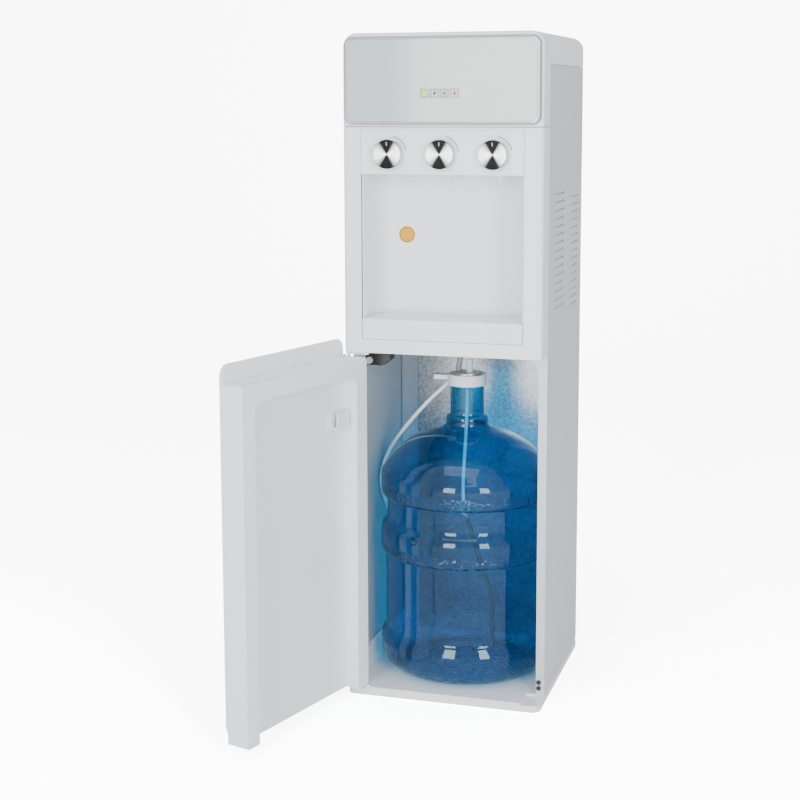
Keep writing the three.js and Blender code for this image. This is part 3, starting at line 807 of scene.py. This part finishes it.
def makeScaleArcs():  # thin printed arc from one to three o'clock beside each knob
    s = knobShape
    radius = s["radius"] + s["arcGap"]
    for name, x in s["centres"].items():
        centre = (x, s["faceY"], s["z"])
        profile = [(radius, -0.00005), (radius + s["arcWidth"], -0.00005)]
        arc = turned(profile, centre, "Y", 24, s["arcSweep"])
        arc.matrix_world = (Matrix.Translation(centre) @ Matrix.Rotation(math.radians(s["arcTurn"]), 4, "Y")
                            @ Matrix.Translation(-Vector(centre)))
        applyModifier(arc, "SOLIDIFY", thickness=printRise, offset=0)
        settle(arc, f"scale_arc_{name}", "cabinet", markGrey)


makeKnobs()
makeScaleArcs()
print("knobs turned")


# Bottle

bottleShape = {
    "centre": (0.0, 0.003, 0.0), "wall": 0.0014, "steps": 96,
    "outline": [  # from the punt to the mouth, millimetres
        (0, 38), (9, 37), (16, 31), (45, 26), (85, 17.5), (103, 13.5), (116, 16.5), (127, 25), (133.5, 36),
        (135, 47), (135, 57), (133, 69), (129.6, 76.5), (127.8, 80), (127.4, 86), (127.4, 194),
        (127.9, 198.4), (131.5, 200.8), (133.9, 204.5), (134.5, 214), (134.3, 236), (132.4, 243),
        (127.4, 249.6), (125.5, 253.6), (125, 259), (125, 284), (125.6, 287.4), (130.6, 289.8),
        (133.7, 294), (134.5, 304), (134.5, 318), (133.3, 327), (130.2, 331.8), (126, 337.8), (114.5, 353),
        (92, 372), (62, 387), (40, 394), (33.4, 399), (32.8, 405), (32.6, 410), (31, 412.6), (27, 414.6),
        (26.5, 418), (26.5, 469.6),
    ],
}


def makeBottle():
    s = bottleShape
    knots = [(radius / 1000, 0, height / 1000) for radius, height in s["outline"]]
    outline = [(max(point.x, 0.0), point.z) for point in smoothLine(knots, 3)]
    piece = turned(outline, s["centre"], "Z", s["steps"])
    applyModifier(piece, "SOLIDIFY", thickness=s["wall"], offset=-1, use_rim=True)
    settle(piece, "bottle_shell", "cabinet", bottleBlue, 60)
    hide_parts("bottle")


makeBottle()
print("bottle blown")


# Probe

probeShape = {
    "capBevel": 0.0008, "tubeRadius": 0.0029, "pipeRadius": 0.0044,
    "tube": [  # straight down from the cap, then slanting to the right to the bottom
        (0, 0.003, 0.478), (0, 0.003, 0.44), (-0.002, 0.003, 0.38), (-0.006, 0.003, 0.3),
        (-0.004, 0.003, 0.262), (0.003, 0.003, 0.24), (0.016, 0.003, 0.197), (0.032, 0.003, 0.148),
        (0.040, 0.003, 0.124), (0.041, 0.003, 0.105), (0.041, 0.003, 0.0402),
    ],
    "pipe": [
        (-0.014, 0.003, 0.4822), (-0.013, 0.003, 0.492), (-0.008, 0.003, 0.516), (-0.008, 0.003, 0.5438),
    ],
}


def makeProbe():
    s = probeShape
    finishedCopy("probe_cap", "cabinet", casingWhite, s["capBevel"])
    tube = roundTube("probe_dip_tube", smoothLine(s["tube"]), s["tubeRadius"], 5)
    tube.data.materials.append(tubeClear)
    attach(tube, "cabinet")
    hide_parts("probe_tube")
    pipe = roundTube("suction_pipe", smoothLine(s["pipe"]), s["pipeRadius"], 5)
    pipe.data.materials.append(hoseGrey)
    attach(pipe, "cabinet")
    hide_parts("suction_hose")


makeProbe()
print("probe set")


# Sticker in the niche

stickerShape = {
    "centre": (-0.075, -0.0722, 0.699), "radius": 0.0125, "thick": 0.00015, "ring": (0.86, 0.92),
}


def makeSticker():
    s = stickerShape
    radius, thick = s["radius"], s["thick"]
    disc = turned([(0.0, 0.0), (radius, 0.0), (radius, thick), (0.0, thick)], s["centre"], "Y", 48)
    settle(disc, "niche_sticker", "cabinet", stickerYellow)
    ring = turned([(radius * share, -0.0001) for share in s["ring"]], s["centre"], "Y", 48)
    applyModifier(ring, "SOLIDIFY", thickness=printRise, offset=0)
    settle(ring, "niche_sticker_ring", "cabinet", markGrey)


makeSticker()


# Floor and lights

studio = {
    "floor": 14.0, "back": 5.0, "rise": 7.0, "curve": 2.5,
    "tone": 0.85, "seenTone": 8.0, "world": 1.0, "seenWorld": 7.0,
    "softboxes": {  # place, target, size, watts
        "keyLeft": ((-0.495, -3.2, 1.1), (-0.495, 0, 1.1), (0.89, 2.2), 75),
        "keyRight": ((1.93, -2.55, 1.1), (0, 0, 1.1), (0.68, 2.2), 60),
        "overhead": ((0.0, -0.8, 3.2), (0, 0, 0.4), (2.0, 2.0), 25),
    },
}


def paperWhite(name):  # the camera sees the paper brighter than the object's surroundings do
    look = bpy.data.materials.new(name)
    look.use_nodes = True
    tree = look.node_tree
    tree.nodes.remove(tree.nodes["Principled BSDF"])
    diffuse = tree.nodes.new("ShaderNodeBsdfDiffuse")
    path = tree.nodes.new("ShaderNodeLightPath")
    tone = tree.nodes.new("ShaderNodeMapRange")
    tone.inputs["To Min"].default_value = studio["tone"]
    tone.inputs["To Max"].default_value = studio["seenTone"]
    tree.links.new(path.outputs["Is Camera Ray"], tone.inputs["Value"])
    tree.links.new(tone.outputs["Result"], diffuse.inputs["Color"])
    tree.links.new(diffuse.outputs["BSDF"], tree.nodes["Material Output"].inputs["Surface"])
    return look


def makeFloor():
    deselectAll()
    middle = (0, studio["back"] - studio["floor"] / 2, 0)
    bpy.ops.mesh.primitive_plane_add(size=studio["floor"], location=middle)
    floor = bpy.context.object
    floor.name = "studio_floor"
    editMode()
    bpy.ops.mesh.select_mode(type="EDGE")
    objectMode()
    far = max(vertex.co.y for vertex in floor.data.vertices)
    clearMarks(floor)
    for edge in floor.data.edges:
        edge.select = all(abs(floor.data.vertices[i].co.y - far) < 1e-4 for i in edge.vertices)
    editMode()
    bpy.ops.mesh.extrude_region_move(TRANSFORM_OT_translate={"value": (0, 0, studio["rise"])})
    objectMode()
    softenEdges(floor, studio["curve"], 16)
    floor.data.materials.append(paperWhite("studioWhite"))
    pick(floor)
    bpy.ops.object.transform_apply(location=True, rotation=True, scale=True)
    bpy.ops.object.shade_smooth_by_angle(angle=math.radians(40))


def softbox(name, location, target, size, power):
    deselectAll()
    bpy.ops.object.light_add(type="AREA", location=location)
    lamp = bpy.context.object
    lamp.name = name
    lamp.data.shape = "RECTANGLE"
    lamp.data.size, lamp.data.size_y = size
    lamp.data.energy = power
    aim = Vector(target) - Vector(location)
    lamp.rotation_euler = aim.to_track_quat("-Z", "Y").to_euler()


def makeWorld():
    world = bpy.data.worlds.new("studioWorld")
    world.use_nodes = True
    tree = world.node_tree
    sky = tree.nodes["Background"]
    sky.inputs["Color"].default_value = (1, 1, 1, 1)
    path = tree.nodes.new("ShaderNodeLightPath")
    strength = tree.nodes.new("ShaderNodeMapRange")
    strength.inputs["To Min"].default_value = studio["world"]
    strength.inputs["To Max"].default_value = studio["seenWorld"]
    tree.links.new(path.outputs["Is Camera Ray"], strength.inputs["Value"])
    tree.links.new(strength.outputs["Result"], sky.inputs["Strength"])
    bpy.context.scene.world = world


makeFloor()
makeWorld()
for name, values in studio["softboxes"].items():
    softbox(name, *values)
print("studio lit")
